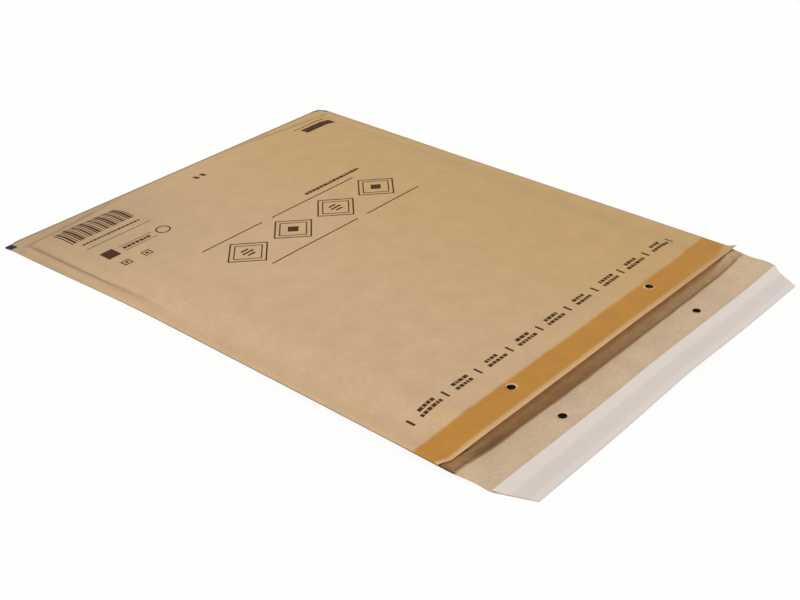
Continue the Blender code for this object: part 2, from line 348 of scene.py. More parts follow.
# Ridges and grooves beside the seam and the fold: share of the crease depth, place inward, width.
SEAM_RIDGES = ((0.8, 0.0068, 0.0030), (0.3, -0.0030, 0.0024), (-0.45, 0.0012, 0.0017))
FOLD_RIDGES = ((0.6, 0.0055, 0.0030), (-0.4, 0.0, 0.0018))


def ridged(ridges, inward):
    """Height of a set of ridges at a distance inward from the seam or the fold."""
    return sum(height * swell(inward - place, width) for height, place, width in ridges)


def crease(x, y):
    """The pressed groove beside the near seam and the fold, with a soft ridge inside it."""
    depth = sizes().crease_depth
    wander = 0.0006 * noise.noise(Vector((y / 0.05, 3.0, 0.0)))
    inward = SEAM_X - abs(x) + wander
    beside_seam = rise((y - 0.02) / 0.12) * rise((MARGIN_Y + 0.001 - y) / 0.008)
    side = beside_seam * ridged(SEAM_RIDGES, inward)
    slant = 0.0090 * rise((abs(x) - 0.040) / 0.100) - 0.0060
    inward = MARGIN_Y - y - slant + 0.0010 * noise.noise(Vector((x / 0.06, 7.0, 0.0)))
    beside_fold = rise((SEAM_X + 0.002 - abs(x)) / 0.004) * rise((abs(x) - 0.030) / 0.050)
    end = beside_fold * ridged(FOLD_RIDGES, inward)
    return depth * (side + end)


def relief(x, y):
    """What the soft paper adds to the front panel's plain shape."""
    size = sizes()
    spot = Vector((x / size.wave_length, y / size.wave_length * 0.8, 1.7))
    waves = noise.noise(spot) + 0.35 * noise.noise(spot * 2.6)
    dimples = over_bubble(x, y)
    return fullness(x, y) * (waves * size.wave_height + dimples * size.dimple_height) + crease(x, y)


def loose_corner(x, y):
    """0 to 1 towards the far corner of the front panel, where the seam has come open at the lip."""
    across = rise((x - SEAM_X + 0.004) / (SIDE_SEAM_WIDTH + 0.004))
    return across * rise((LIP_Y + LOOSE_CORNER_RUN - y) / LOOSE_CORNER_RUN)


def lip_setback(x, y):
    """How far the ends of the lip are drawn back towards the closed end."""
    ends = LIP_END_BACK * (1 - rise((SEAM_X - abs(x)) / SIDE_RAMP_MOUTH))
    corner = LIP_CORNER_BACK * rise((LIP_CORNER_LENGTH - HALF_WIDTH - x) / LIP_CORNER_LENGTH)
    return (ends + corner) * (1 - rise((y - LIP_Y) / LIP_CORNER_RUN))


def back_inside(x, y):
    return underside(x, y) + KRAFT_THICKNESS


def front_inside(x, y):
    """Inner face of the front panel."""
    curl = sizes().corner_curl * loose_corner(x, y)
    return back_inside(x, y) + room(x, y) + relief(x, y) + curl


def front_outside(x, y):
    return front_inside(x, y) + KRAFT_THICKNESS


def half_width(y, side, lead=0.0):
    """Half width of the sheet at y: side is negative for the near edge, positive for the far.

    Both edges draw in a little beside the padding and spread again towards the closed end, most at
    the near corner, which is squashed flat.
    The flap's sides are set in, and lead is how far inside the mouth that starts."""
    corner = CORNER_ROUND_NEAR if side < 0 else CORNER_ROUND_FAR
    dog_ear = DOG_EAR_NEAR if side < 0 else DOG_EAR_FAR
    into_corner = max(y - (FOLD_Y - corner), 0.0)
    width = HALF_WIDTH - corner + math.sqrt(max(corner ** 2 - into_corner ** 2, 0.0))
    if side < 0:
        tip = CLOSED_TIP_SHARE * rise((y - CLOSED_Y + CLOSED_TIP_RUN) / CLOSED_TIP_RUN)
        width += sizes().corner_flare * (rise((y - CLOSED_FLARE_START) / CLOSED_FLARE_RUN) + tip)
    else:
        width += FAR_FLARE * rise((y - FAR_FLARE_START) / FAR_FLARE_RUN)
    narrower = NEAR_DRAW_IN if side < 0 else FAR_DRAW_IN * rise((FAR_DRAW_START - y) / FAR_DRAW_RUN)
    start = LIP_Y + (0.0 if side < 0 else lead)
    end = FILM_BACK_Y - (SET_IN_NEAR_RUN if side < 0 else 0.0)
    set_in = rise((start - y) / (start - end))
    if side > 0:
        along_ear = rise((DOG_EAR_Y + 0.002 - y) / 0.007)
        set_in -= FLAP_FAR_BULGE * rise((FILM_BACK_Y - y) / 0.012) * (1 - along_ear)
    width -= narrower + ((FLAP_NEAR_INSET if side < 0 else FLAP_FAR_INSET) - narrower) * set_in
    shoulder = DOG_EAR_Y + (LINER_SLANT if side < 0 else 0.0)
    width -= dog_ear * max(shoulder - y, 0.0) / (shoulder - FLAP_END_Y)
    return width


# Mesh helpers.

SHARP_ANGLE = math.radians(35.0)


def spread(start, end, steps):
    """Evenly spaced values from start to end, both included."""
    return [start + (end - start) * step / steps for step in range(steps + 1)]


def graded(start, end, cell, *fine_zones):
    """Positions from start to end about a cell apart, closer in zones of (from, to, cell)."""
    marks = {start, end}
    for low, high, _ in fine_zones:
        marks |= {mark for mark in (low, high) if start < mark < end}
    marks = sorted(marks)
    places = [marks[0]]
    for low, high in zip(marks, marks[1:]):
        middle = (low + high) / 2
        step = min([zone[2] for zone in fine_zones if zone[0] <= middle <= zone[1]] + [cell])
        places += spread(low, high, max(1, math.ceil((high - low) / step - 1e-6)))[1:]
    return places


def mirrored(half):
    """Positions from the middle outwards, made to run from edge to edge."""
    return [-x for x in reversed(half[1:])] + half


def round_fold(front, back, steps):
    """Stations of a folded sheet, from the front panel's end round the fold to the back panel's."""
    turn = spread(math.pi / 2, -math.pi / 2, steps)[1:-1]
    return [("front", y) for y in front] + [("fold", angle) for angle in turn] + [
        ("back", y) for y in reversed(back)]


def piece_from(name, bm, materials):
    """Turns a bmesh into an object of the scene."""
    mesh = bpy.data.meshes.new(name)
    bm.to_mesh(mesh)
    bm.free()
    for material in materials:
        mesh.materials.append(material)
    mesh.shade_smooth()
    mesh.set_sharp_from_angle(angle=SHARP_ANGLE)
    piece = bpy.data.objects.new(name, mesh)
    bpy.context.scene.collection.objects.link(piece)
    return piece


def bent_sheet(across, stations, lengths, place):
    """A flat grid given two faces and bent to shape: place(x, station, outside) puts a corner.

    The UV map holds the flat blank in metres. Inner faces and rims take the second material."""
    bm = bmesh.new()
    last_column, last_station = len(across) - 1, len(stations) - 1
    bmesh.ops.create_grid(bm, x_segments=last_column, y_segments=last_station, size=1.0)
    grown = bmesh.ops.extrude_face_region(bm, geom=bm.faces[:])["geom"]
    outer = {item for item in grown if isinstance(item, bmesh.types.BMVert)}
    blank = bm.loops.layers.uv.new("blank")
    spots = {}
    for corner in bm.verts:
        column = round((corner.co.x + 1) / 2 * last_column)
        spots[corner] = (column, round((corner.co.y + 1) / 2 * last_station))
    for face in bm.faces:
        face.material_index = 0 if all(corner in outer for corner in face.verts) else 1
        for loop in face.loops:
            column, station = spots[loop.vert]
            loop[blank].uv = (across[column] + HALF_WIDTH, lengths[station])
    for corner, (column, station) in spots.items():
        corner.co = place(across[column], stations[station], corner in outer)
    bmesh.ops.recalc_face_normals(bm, faces=bm.faces[:])
    return bm


def one_material(bm):
    """Gives every face the first material."""
    for face in bm.faces:
        face.material_index = 0


def coat_from(name, across, rows, place, material):
    """A thin sheet of one material as an object of the scene."""
    bm = bent_sheet(across, rows, rows, place)
    one_material(bm)
    return piece_from(name, bm, [material])


def punch(piece, shift, y, low, high):
    """Punches a pair of round holes at y through a piece, between two heights."""
    bm = bmesh.new()
    for side in (-1, 1):
        middle = Matrix.Translation((shift + side * HOLE_SPACING / 2, y, (low + high) / 2))
        bmesh.ops.create_cone(
            bm, cap_ends=True, segments=HOLE_SIDES, radius1=HOLE_DIAMETER / 2,
            radius2=HOLE_DIAMETER / 2, depth=high - low, matrix=middle)
    cutter = piece_from("hole_punch", bm, [])
    cut = piece.modifiers.new("punched holes", "BOOLEAN")
    cut.operation = "DIFFERENCE"
    cut.solver = "EXACT"
    cut.object = cutter
    depsgraph = bpy.context.evaluated_depsgraph_get()
    whole = piece.data
    piece.data = bpy.data.meshes.new_from_object(piece.evaluated_get(depsgraph))
    piece.data.name = piece.name
    piece.modifiers.clear()
    bpy.data.meshes.remove(whole)
    bpy.data.objects.remove(cutter)


def dress(piece, slot, *nodes):
    """Hangs a piece on the frame: it rides on the one body and stands for its CAD nodes."""
    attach(piece, "root")
    if nodes:
        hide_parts(*nodes)


# Marks on the flat blank, which the UV map holds in metres from the near end of the lip.
BLANK_WIDTH = 2 * HALF_WIDTH
BLANK_TURN = FOLD_Y - LIP_Y + math.pi / 2 * (SEAM_ROOM / 2 + KRAFT_THICKNESS)
BLANK_BACK_LIP = 2 * BLANK_TURN
BLANK_MARGIN = MARGIN_Y - LIP_Y
LIP_STRIP_WIDTH = 0.0026
SOAKED_END = 0.0203
SOAKED_NEAR_RUN = 0.0026
SOAKED_FAR_RUN = 0.0056
STAIN_EDGE = 0.0045
STAIN_NEAR_BACK = 0.0012
STAIN_END = 0.0240
HOLE_RADIUS = HOLE_DIAMETER / 2
NOISE_SPAN = (0.3, 0.7)  # A noise pattern stays between these two nearly everywhere.


# Material helpers.

def add(tree, kind, inputs=(), **settings):
    """Adds a node: settings are its properties, inputs are values, sockets or nodes that feed it.

    Inputs go by name or number, or in order. A node stands for its first output in use."""
    node = tree.nodes.new("ShaderNode" + kind)
    for name, value in settings.items():
        setattr(node, name, value)
    for name, value in inputs.items() if isinstance(inputs, dict) else enumerate(inputs):
        if isinstance(value, bpy.types.Node):
            value = next(output for output in value.outputs if output.enabled)
        if isinstance(value, bpy.types.NodeSocket):
            tree.links.new(value, node.inputs[name])
        elif node.inputs[name].type == "RGBA":
            node.inputs[name].default_value = (*value, 1.0)
        else:
            node.inputs[name].default_value = value
    return node


def new_material(name):
    """An empty node material and its tree."""
    material = bpy.data.materials.new(name)
    material.use_nodes = True
    material.node_tree.nodes.clear()
    return material, material.node_tree


def with_surface(material, inputs):
    """Gives a material its shader with these inputs, joined to the output."""
    shader = add(material.node_tree, "BsdfPrincipled", inputs)
    add(material.node_tree, "OutputMaterial", {"Surface": shader})
    return material


def shade(colour, factor):
    """A colour made lighter or darker."""
    return tuple(min(channel * factor, 1.0) for channel in colour)


def away(tree, value, place):
    """How far a value lies from a place, on either side."""
    apart = add(tree, "Math", (value, place), operation="SUBTRACT")
    return add(tree, "Math", (apart,), operation="ABSOLUTE")


def zone(tree, *steps):
    """A zone with soft edges: the product of smooth steps, each (value, start, end, low, high)."""
    share = None
    for step in steps:
        factor = add(tree, "MapRange", step, interpolation_type="SMOOTHSTEP")
        share = factor if share is None else add(tree, "Math", (share, factor), operation="MULTIPLY")
    return share


def from_lip(tree, along, clouds):
    """Distance from the lip on either panel, below zero on the flap: as it is, and made ragged."""
    distance = add(tree, "Math", (BLANK_TURN, away(tree, along, BLANK_TURN)), operation="SUBTRACT")
    ragged = add(tree, "Math", (clouds, 0.0010, -0.0005), operation="MULTIPLY_ADD")
    return distance, add(tree, "Math", (distance, ragged), operation="ADD")


# Materials. What marks the paper is given as layers of (share, colour), painted one over another.

def kraft_paper(name, colour, glazed):
    """Brown kraft paper: long unbleached fibres pressed to a sheet.

    The glazed face was dried against a polished roll, so it is smooth with faint clouds. The
    inner face is rougher, greyer and shows its fibres more."""
    material, tree = new_material(name)
    blank = add(tree, "UVMap", uv_map="blank")
    spot = add(tree, "SeparateXYZ", (blank,))
    across, along = spot.outputs["X"], spot.outputs["Y"]
    # Clouds of about 14 mm come from uneven sheet formation.
    clouds = add(tree, "TexNoise", {"Vector": blank, "Scale": 70.0, "Detail": 3.0})
    # Flocks of fibre are under 1 mm, and are drawn at 2 mm so that they show.
    flocks = add(tree, "TexNoise", {"Vector": blank, "Scale": 480.0, "Detail": 4.0, "Roughness": 0.65})
    # Single fibres are 3 mm long and lie along the web, drawn 0.5 mm wide so that they show.
    web = add(tree, "Mapping", {"Vector": blank, "Scale": (2000.0, 420.0, 1.0)})
    fibres = add(tree, "TexNoise", {"Vector": web, "Scale": 1.0, "Detail": 2.0})
    paper = add(tree, "Mix", {0: clouds, 6: shade(colour, 0.97), 7: shade(colour, 1.03)}, data_type="RGBA")
    if glazed:
        # Painted shade towards the far edge, in the creases and on the fold, and a darker near closed
        # corner.
        layers = paper_shade_and_dark_corner(tree, across, along) + crease_and_edge_shade(tree, across, along, clouds)
        layers += soaked_band(tree, across, along, clouds)
    else:
        layers = mouth_stain(tree, across, along, clouds)
    for share, over in layers:
        paper = add(tree, "Mix", {0: share, 6: paper, 7: over}, data_type="RGBA")
    depth = 1.0 if glazed else 1.35
    for pattern, darker, lighter in ((clouds, 0.035, 0.035), (flocks, 0.055, 0.05), (fibres, 0.05, 0.04)):
        tone = add(tree, "MapRange", (pattern, *NOISE_SPAN, 1 - darker * depth, 1 + lighter * depth))
        paper = add(tree, "VectorMath", (paper, tone), operation="MULTIPLY")
    marks = hole_rims(tree, across, along)
    if glazed:
        marks += corner_marks(tree, across, along)
    for share, over in marks:
        paper = add(tree, "Mix", {0: share, 6: paper, 7: over}, data_type="RGBA")
    rough = add(tree, "MapRange", (flocks, *NOISE_SPAN, *((0.62, 0.78) if glazed else (0.8, 0.95))))
    cockle = add(tree, "Bump", {"Height": clouds, "Strength": 0.35, "Distance": 0.0006})
    tooth = add(tree, "Bump", {"Height": flocks, "Strength": 0.3, "Distance": 0.0001, "Normal": cockle})
    return with_surface(material, {
        "Base Color": paper, "Roughness": rough, "IOR": 1.45, "Normal": tooth,
        "Specular IOR Level": 0.35 if glazed else 0.25})


def paper_shade_and_dark_corner(tree, across, along):
    """Painted shade: the web gets darker and yellower towards its far edge. It is also darker at the near
    closed corner.
    """
    far_edge_shade = zone(tree, (across, 0.04, BLANK_WIDTH - 0.02))
    near_corner_darkening = zone(tree, (along, 0.224, 0.374, 0.0, 0.9), (across, 0.165, 0.030))
    return [(far_edge_shade, colours().kraft_far_shaded), (near_corner_darkening, linear("AC9271"))]


def soaked_band(tree, across, along, clouds):
    """The pale dry strip at the lip, and the amber band where the hot-melt has soaked through.

    The band runs wider over the slopes beside the seams."""
    edge = from_lip(tree, along, clouds)[1]
    near = zone(tree, (across, 0.036, 0.0, 0.0, SOAKED_NEAR_RUN))
    far = zone(tree, (across, BLANK_WIDTH - 0.042, BLANK_WIDTH, 0.0, SOAKED_FAR_RUN))
    wider = add(tree, "Math", (near, far), operation="ADD")
    inner = add(tree, "Math", (edge, wider), operation="SUBTRACT")
    # At the far corner the glue stops short of the lip.
    bare = zone(tree, (across, BLANK_WIDTH - 0.020, BLANK_WIDTH, 0.0, 0.0055))
    edge = add(tree, "Math", (edge, bare), operation="SUBTRACT")
    soaked = zone(tree, (edge, LIP_STRIP_WIDTH - 0.0014, LIP_STRIP_WIDTH + 0.0020),
                  (inner, SOAKED_END + 0.0015, SOAKED_END - 0.0015))
    glue = colours().glue
    amber = add(tree, "Mix", {0: clouds, 6: shade(glue, 0.94), 7: shade(glue, 1.06)}, data_type="RGBA")
    dry = zone(tree, (edge, LIP_STRIP_WIDTH + 0.0020, LIP_STRIP_WIDTH + 0.0006, 0.0, 0.9))
    # Painted shade: the dry strip darkens towards the far end.
    dry_tone_and_far_shade = add(tree, "Mix", {0: zone(tree, (across, 0.12, 0.28)), 6: linear("C9A374"),
                                 7: linear("B8946A")}, data_type="RGBA")
    return [(dry, dry_tone_and_far_shade), (soaked, amber)]


def mouth_stain(tree, across, along, clouds):
    """The inner face in the mouth, brown with glue, with painted shade along the near cut edge."""
    distance, edge = from_lip(tree, along, clouds)
    nearer = zone(tree, (across, HALF_WIDTH - 0.040, HALF_WIDTH - 0.090, 0.0, STAIN_NEAR_BACK))
    edge = add(tree, "Math", (edge, nearer), operation="SUBTRACT")
    stained = zone(tree, (edge, -STAIN_EDGE - 0.0020, -STAIN_EDGE + 0.0010),
                   (edge, STAIN_END + 0.002, STAIN_END - 0.002))
    # Painted shade: a dark line along the near cut edge at the mouth, fading to a fainter line along the
    # seam further in.
    near_edge_shade = zone(tree, (across, 0.0018, 0.0010), (edge, -0.0060, -0.0040),
                    (edge, 0.0040, 0.0100, 1.0, 0.45))
    return [(stained, glued_brown(tree, across, distance, clouds)), (near_edge_shade, linear("5A4A3A"))]


def glued_brown(tree, across, inward, mottle):
    """The brown of glue in the mouth, with painted light and shade: paler towards the far side, paler
    deeper inside than the lip, and darker over a wrinkle where the near slope begins.
    """
    resin = colours().resin
    along_mouth = add(tree, "MapRange", (across, 0.10, 0.285))
    brown = add(tree, "Mix", {0: along_mouth, 6: resin, 7: colours().resin_far_lit}, data_type="RGBA")
    # Painted shade: darker where a wrinkle lies, where the near slope of the mouth begins.
    wrinkle_shade = zone(tree, (across, 0.012, 0.026, 0.0, 0.9), (across, 0.058, 0.036))
    # Painted light: paler deeper inside than the lip, where the lip shades it, except near the ends.
    thin = zone(tree, (inward, -0.0010, 0.0042, 0.0, 0.90), (away(tree, across, HALF_WIDTH), 0.134, 0.112))
    for share, over in ((wrinkle_shade, shade(resin, 0.70)), (thin, linear("FACB92"))):
        brown = add(tree, "Mix", {0: share, 6: brown, 7: over}, data_type="RGBA")
    patches = add(tree, "MapRange", (mottle, *NOISE_SPAN, 0.88, 1.12))
    return add(tree, "VectorMath", (brown, patches), operation="MULTIPLY")


def crease_and_edge_shade(tree, across, along, clouds):
    """Painted shade: the paper is darker in the groove by the near seam, before and on the fold, and along
    the far edge.
    """
    wander = add(tree, "Math", (clouds, 0.0020, -0.0010), operation="MULTIPLY_ADD")
    beside = add(tree, "Math", (across, wander), operation="ADD")
    groove = zone(tree, (beside, 0.0112, 0.0096), (beside, 0.0072, 0.0090), (along, 0.205, 0.300),
                  (along, 0.364, 0.356))
    from_middle = away(tree, across, HALF_WIDTH)
    slant = zone(tree, (from_middle, 0.040, 0.140, BLANK_MARGIN + 0.0060, BLANK_MARGIN - 0.0030))
    from_band = add(tree, "Math", (along, slant), operation="SUBTRACT")
    from_band = add(tree, "Math", (from_band, wander), operation="ADD")
    from_band = add(tree, "Math", (from_band,), operation="ABSOLUTE")
    band = zone(tree, (from_band, 0.0024, 0.0004), (from_middle, 0.035, 0.090), (from_middle, 0.142, 0.136))
    fold = zone(tree, (away(tree, along, BLANK_TURN), 0.0032, 0.0018))
    far_edge = zone(tree, (across, BLANK_WIDTH - 0.0018, BLANK_WIDTH - 0.0008))
    dark = None
    for line, strength in ((groove, 0.45), (band, 0.36), (fold, 0.55), (far_edge, 0.30)):
        share = add(tree, "Math", (line, strength), operation="MULTIPLY")
        dark = share if dark is None else add(tree, "Math", (dark, share), operation="MAXIMUM")
    return [(dark, linear("6A543C"))]


def hole_rims(tree, across, along):
    """Torn pale fibres round each punched hole, fading out over a millimetre."""
    rims = []
    places = ((FRONT_HOLE_SHIFT, FRONT_HOLE_Y - LIP_Y), (0.0, BLANK_BACK_LIP + LIP_Y - FLAP_HOLE_Y))
    for shift, place in places:
        sideways = away(tree, across, HALF_WIDTH + shift)
        sideways = add(tree, "Math", (sideways, HOLE_SPACING / 2), operation="SUBTRACT")
        lengthways = add(tree, "Math", (along, place), operation="SUBTRACT")
        offset = add(tree, "CombineXYZ", (sideways, lengthways))
        radius = add(tree, "VectorMath", (offset,), operation="LENGTH")
        rim = zone(tree, (radius, HOLE_RADIUS + 0.0013, HOLE_RADIUS + 0.0003, 0.0, 0.6))
        rims.append((rim, linear("D2B795")))
    return rims


def corner_marks(tree, across, along):
    """Black cutting marks that wrap the fold at both closed corners."""
    from_turn = away(tree, along, BLANK_TURN)
    on_fold = add(tree, "MapRange", (from_turn, 0.0078, 0.0070))
    near_edge = add(tree, "MapRange", (across, 0.0054, 0.0048))
    marked = add(tree, "Math", (on_fold, near_edge), operation="MULTIPLY")
    # At the far corner only a thin line of the mark shows, round the corner's edge.
    for low, high, reach in ((0.0060, 0.0052, 0.0028), (0.0032, 0.0024, 0.0080)):
        line = zone(tree, (across, BLANK_WIDTH - low, BLANK_WIDTH - high),
                    (from_turn, reach + 0.0006, reach))
        marked = add(tree, "Math", (marked, line), operation="MAXIMUM")
    return [(marked, linear("0F0D0B"))]


def clear_film():
    """Low-density polyethylene blown film: clear, soft and slightly hazy, brown over the glue."""
    material, tree = new_material("blown_polyethylene_film")
    spot = add(tree, "TexCoord").outputs["Object"]
    haze = add(tree, "TexNoise", {"Vector": spot, "Scale": 260.0, "Detail": 3.0})
    veil = add(tree, "MapRange", (haze, *NOISE_SPAN, 0.06, 0.16))
    # Where the film lies on the glue it is wetted through, and shows the glue's brown.
    place = add(tree, "SeparateXYZ", (spot,))
    x, y = place.outputs["X"], place.outputs["Y"]
    glued = zone(tree, (y, GLUE_END_Y + 0.006, GLUE_END_Y - 0.001))
    across = add(tree, "Math", (x, HALF_WIDTH), operation="ADD")
    inward = add(tree, "Math", (y, LIP_Y), operation="SUBTRACT")
    brown = glued_brown(tree, across, inward, haze)
    # Painted shade: the brown darkens beyond the lip, towards the film's cut edge.
    edge = zone(tree, (inward, -0.0026, 0.0, 0.80, 1.0))
    brown = add(tree, "VectorMath", (brown, edge), operation="MULTIPLY")
    tint = add(tree, "Mix", {0: glued, 6: colours().film, 7: brown}, data_type="RGBA")
    cover = add(tree, "Mix", {0: glued, 2: veil, 3: 0.92}, data_type="FLOAT")
    # Painted shadow: the film is dark under the holes.
    from_hole = add(tree, "CombineXYZ", {"X": away(tree, x, FRONT_HOLE_SHIFT), "Y": y})
    from_hole = add(tree, "VectorMath", (from_hole, (HOLE_SPACING / 2, FRONT_HOLE_Y, 0.0)),
                    operation="DISTANCE")
    hole_shadow = zone(tree, (from_hole, 0.0058, 0.0044))
    tint = add(tree, "Mix", {0: hole_shadow, 6: tint, 7: linear("120A06")}, data_type="RGBA")
    cover = add(tree, "Math", (cover, hole_shadow), operation="MAXIMUM")
    wrinkles = add(tree, "Bump", {"Height": haze, "Strength": 0.4, "Distance": 0.0002})
    return with_surface(material, {
        "Base Color": tint, "Alpha": cover, "Roughness": 0.45, "Specular IOR Level": 0.25, "IOR": 1.51,
        "Normal": wrinkles})


def hot_melt():
    """Amber hot-melt resin: spread in a thin band, smooth and a little glossy."""
    material, tree = new_material("hot_melt_resin")
    spot = add(tree, "TexCoord").outputs["Object"]
    streaks = add(tree, "Mapping", {"Vector": spot, "Scale": (120.0, 420.0, 1.0)})
    marks = add(tree, "TexNoise", {"Vector": streaks, "Scale": 1.0, "Detail": 3.0})
    resin = colours().resin
    amber = add(tree, "Mix", {0: marks, 6: shade(resin, 0.85), 7: shade(resin, 1.15)}, data_type="RGBA")
    ripple = add(tree, "Bump", {"Height": marks, "Strength": 0.4, "Distance": 0.0002})
    return with_surface(material, {"Base Color": amber, "Roughness": 0.35, "IOR": 1.48, "Normal": ripple})


def seal_adhesive():
    """Pressure-sensitive acrylic adhesive: a tacky glossy coat, slightly yellow."""
    material, tree = new_material("acrylic_adhesive")
    spot = add(tree, "TexCoord").outputs["Object"]
    coat = add(tree, "TexNoise", {"Vector": spot, "Scale": 350.0, "Detail": 2.0})
    tint = add(tree, "Mix", {0: coat, 6: linear("D9CCA6"), 7: linear("E6DDC2")}, data_type="RGBA")
    tack = add(tree, "Bump", {"Height": coat, "Strength": 0.3, "Distance": 0.0001})
    return with_surface(material, {"Base Color": tint, "Roughness": 0.25, "IOR": 1.47, "Normal": tack})


def release_paper():
    """White glassine coated with silicone: dense, smooth and satin, with faint cloudiness."""
    material, tree = new_material("siliconised_glassine")
    spot = add(tree, "TexCoord").outputs["Object"]
    clouds = add(tree, "TexNoise", {"Vector": spot, "Scale": 90.0, "Detail": 3.0})
    flocks = add(tree, "TexNoise", {"Vector": spot, "Scale": 600.0, "Detail": 2.0})
    white = colours().release
    paper = add(tree, "Mix", {0: clouds, 6: shade(white, 0.965), 7: shade(white, 1.035)}, data_type="RGBA")
    tone = add(tree, "MapRange", (flocks, *NOISE_SPAN, 0.98, 1.02))
    # The inner third and the outer rim lie loose, and are paler than the part that sticks.
    place = add(tree, "SeparateXYZ", (spot,))
    ragged = add(tree, "Math", (clouds, 0.0020, place.outputs["Y"]), operation="MULTIPLY_ADD")
    inner = zone(tree, (ragged, DOG_EAR_Y - 0.0076, DOG_EAR_Y - 0.0044))
    rim = zone(tree, (ragged, FLAP_END_Y + 0.0066, FLAP_END_Y + 0.0040, 0.0, 0.8))
    loose = add(tree, "Math", (inner, rim), operation="MAXIMUM")
    paper = add(tree, "Mix", {0: loose, 6: paper, 7: linear("D6CDC6")}, data_type="RGBA")
    paper = add(tree, "VectorMath", (paper, tone), operation="MULTIPLY")
    cockle = add(tree, "Bump", {"Height": clouds, "Strength": 0.25, "Distance": 0.0004})
    return with_surface(material, {"Base Color": paper, "Roughness": 0.42, "IOR": 1.45, "Normal": cockle})


def printing_ink():
    """Water-based flexographic ink: matt and dark brown, thin where the paper's tooth shows."""
    material, tree = new_material("flexographic_ink")
    spot = add(tree, "TexCoord").outputs["Object"]
    tooth = add(tree, "TexNoise", {"Vector": spot, "Scale": 900.0, "Detail": 3.0})
    cover = add(tree, "MapRange", (tooth, 0.35, 0.7))
    ink = add(tree, "Mix", {0: cover, 6: colours().ink, 7: linear("5A3F28")}, data_type="RGBA")
    return with_surface(material, {
        "Base Color": ink, "Roughness": 0.85, "IOR": 1.45, "Specular IOR Level": 0.12})


# Pieces.

class MAILER_OT_kraft_envelope(bpy.types.Operator):
    """Builds the folded kraft sheet with its soft relief, creases and punched holes"""

    bl_idname = "mailer.kraft_envelope"
    bl_label = "Kraft Envelope"

    def execute(self, context):
        cell = sizes().paper_cell
        fine = cell / 3
        across = mirrored(graded(0.0, HALF_WIDTH, cell, (SEAM_X - 0.009, HALF_WIDTH, fine)))
        fine_rows = ((LIP_Y, FILM_FRONT_Y + 0.001, fine), (MARGIN_Y - 0.009, FOLD_Y, fine))
        front = graded(LIP_Y, FOLD_Y, cell, *fine_rows)
        back = graded(FLAP_END_Y, FOLD_Y, cell * 1.5, (FLAP_END_Y, FILM_FRONT_Y, cell), *fine_rows[1:])
        stations = round_fold(front, back, 8)
        lengths = {
            "front": lambda y: y - LIP_Y,
            "fold": lambda angle: BLANK_TURN - angle * (SEAM_ROOM / 2 + KRAFT_THICKNESS),
            "back": lambda y: BLANK_BACK_LIP - (y - LIP_Y)}
        lengths = [lengths[panel](value) for panel, value in stations]

        def place(column, station, outside):
            panel, value = station
            y = FOLD_Y if panel == "fold" else value
            lead = BACK_SET_IN_LEAD if panel == "back" else 0.0
            x = column * half_width(y, column, lead) / HALF_WIDTH
            skin = KRAFT_THICKNESS if outside else 0.0
            if panel == "front":
                y += lip_setback(x, y)
                curl = loose_corner(x, y)
                height = front_inside(x, y) + skin
                return Vector((x + LOOSE_CORNER_OUT * curl, y - LOOSE_CORNER_DOWN * curl, height))
            if panel == "back":
                return Vector((x, y, back_inside(x, y) - skin))
            radius = (front_inside(x, y) - back_inside(x, y)) / 2
            reach = radius + skin
            height = back_inside(x, y) + radius + reach * math.sin(value)
            return Vector((x, y + reach * math.cos(value), height))

        bm = bent_sheet(across, stations, lengths, place)
        outside = kraft_paper("machine_glazed_kraft", colours().kraft, True)
        inside = kraft_paper("unglazed_kraft", colours().kraft_inside, False)
        envelope = piece_from("kraft_sheet", bm, [outside, inside])
        punch(envelope, FRONT_HOLE_SHIFT, FRONT_HOLE_Y, PUNCH_TOP / 2, PUNCH_TOP)
        punch(envelope, 0.0, FLAP_HOLE_Y, -FLAP_LIFT, PUNCH_TOP / 2)
        dress(envelope, "kraft_paper", "kraft_envelope")
        return {"FINISHED"}


def drawn_in(x, y):
    """How far the edge of the film and the glue on the back panel is drawn in at the near end."""
    return STAIN_NEAR_BACK * rise((-0.040 - x) / 0.050) * (1 - rise((y - FILM_BACK_Y) / 0.012))


def film_face(panel, x, y, share):
    """A point in one layer of the film: share is 0 on its inner face, 1 on its outer face."""
    recess = GLUE_RECESS * rise((GLUE_END_Y + FILM_WELD_WIDTH - y) / FILM_WELD_WIDTH)
    recess *= rise((SEAM_X - abs(x)) / GLUE_RAMP)
    middle = back_inside(x, y) + room(x, y) / 2
    half_gap = film_gap(x, y) / 2
    if panel == "front":
        inner = middle + half_gap
        outer = front_inside(x, y) - FILM_CLEARANCE - recess
    else:
        outer = back_inside(x, y) + FILM_CLEARANCE + recess
        inner = middle - half_gap
        inner -= (inner - outer) * FILM_EDGE_CRUSH * rise(
            (FILM_FRONT_Y - y) / (FILM_FRONT_Y - FILM_BACK_Y))
    return Vector((x, y, inner + (outer - inner) * share))


WEB_SHARE = 0.1
CRUSHED_BELOW = 0.35


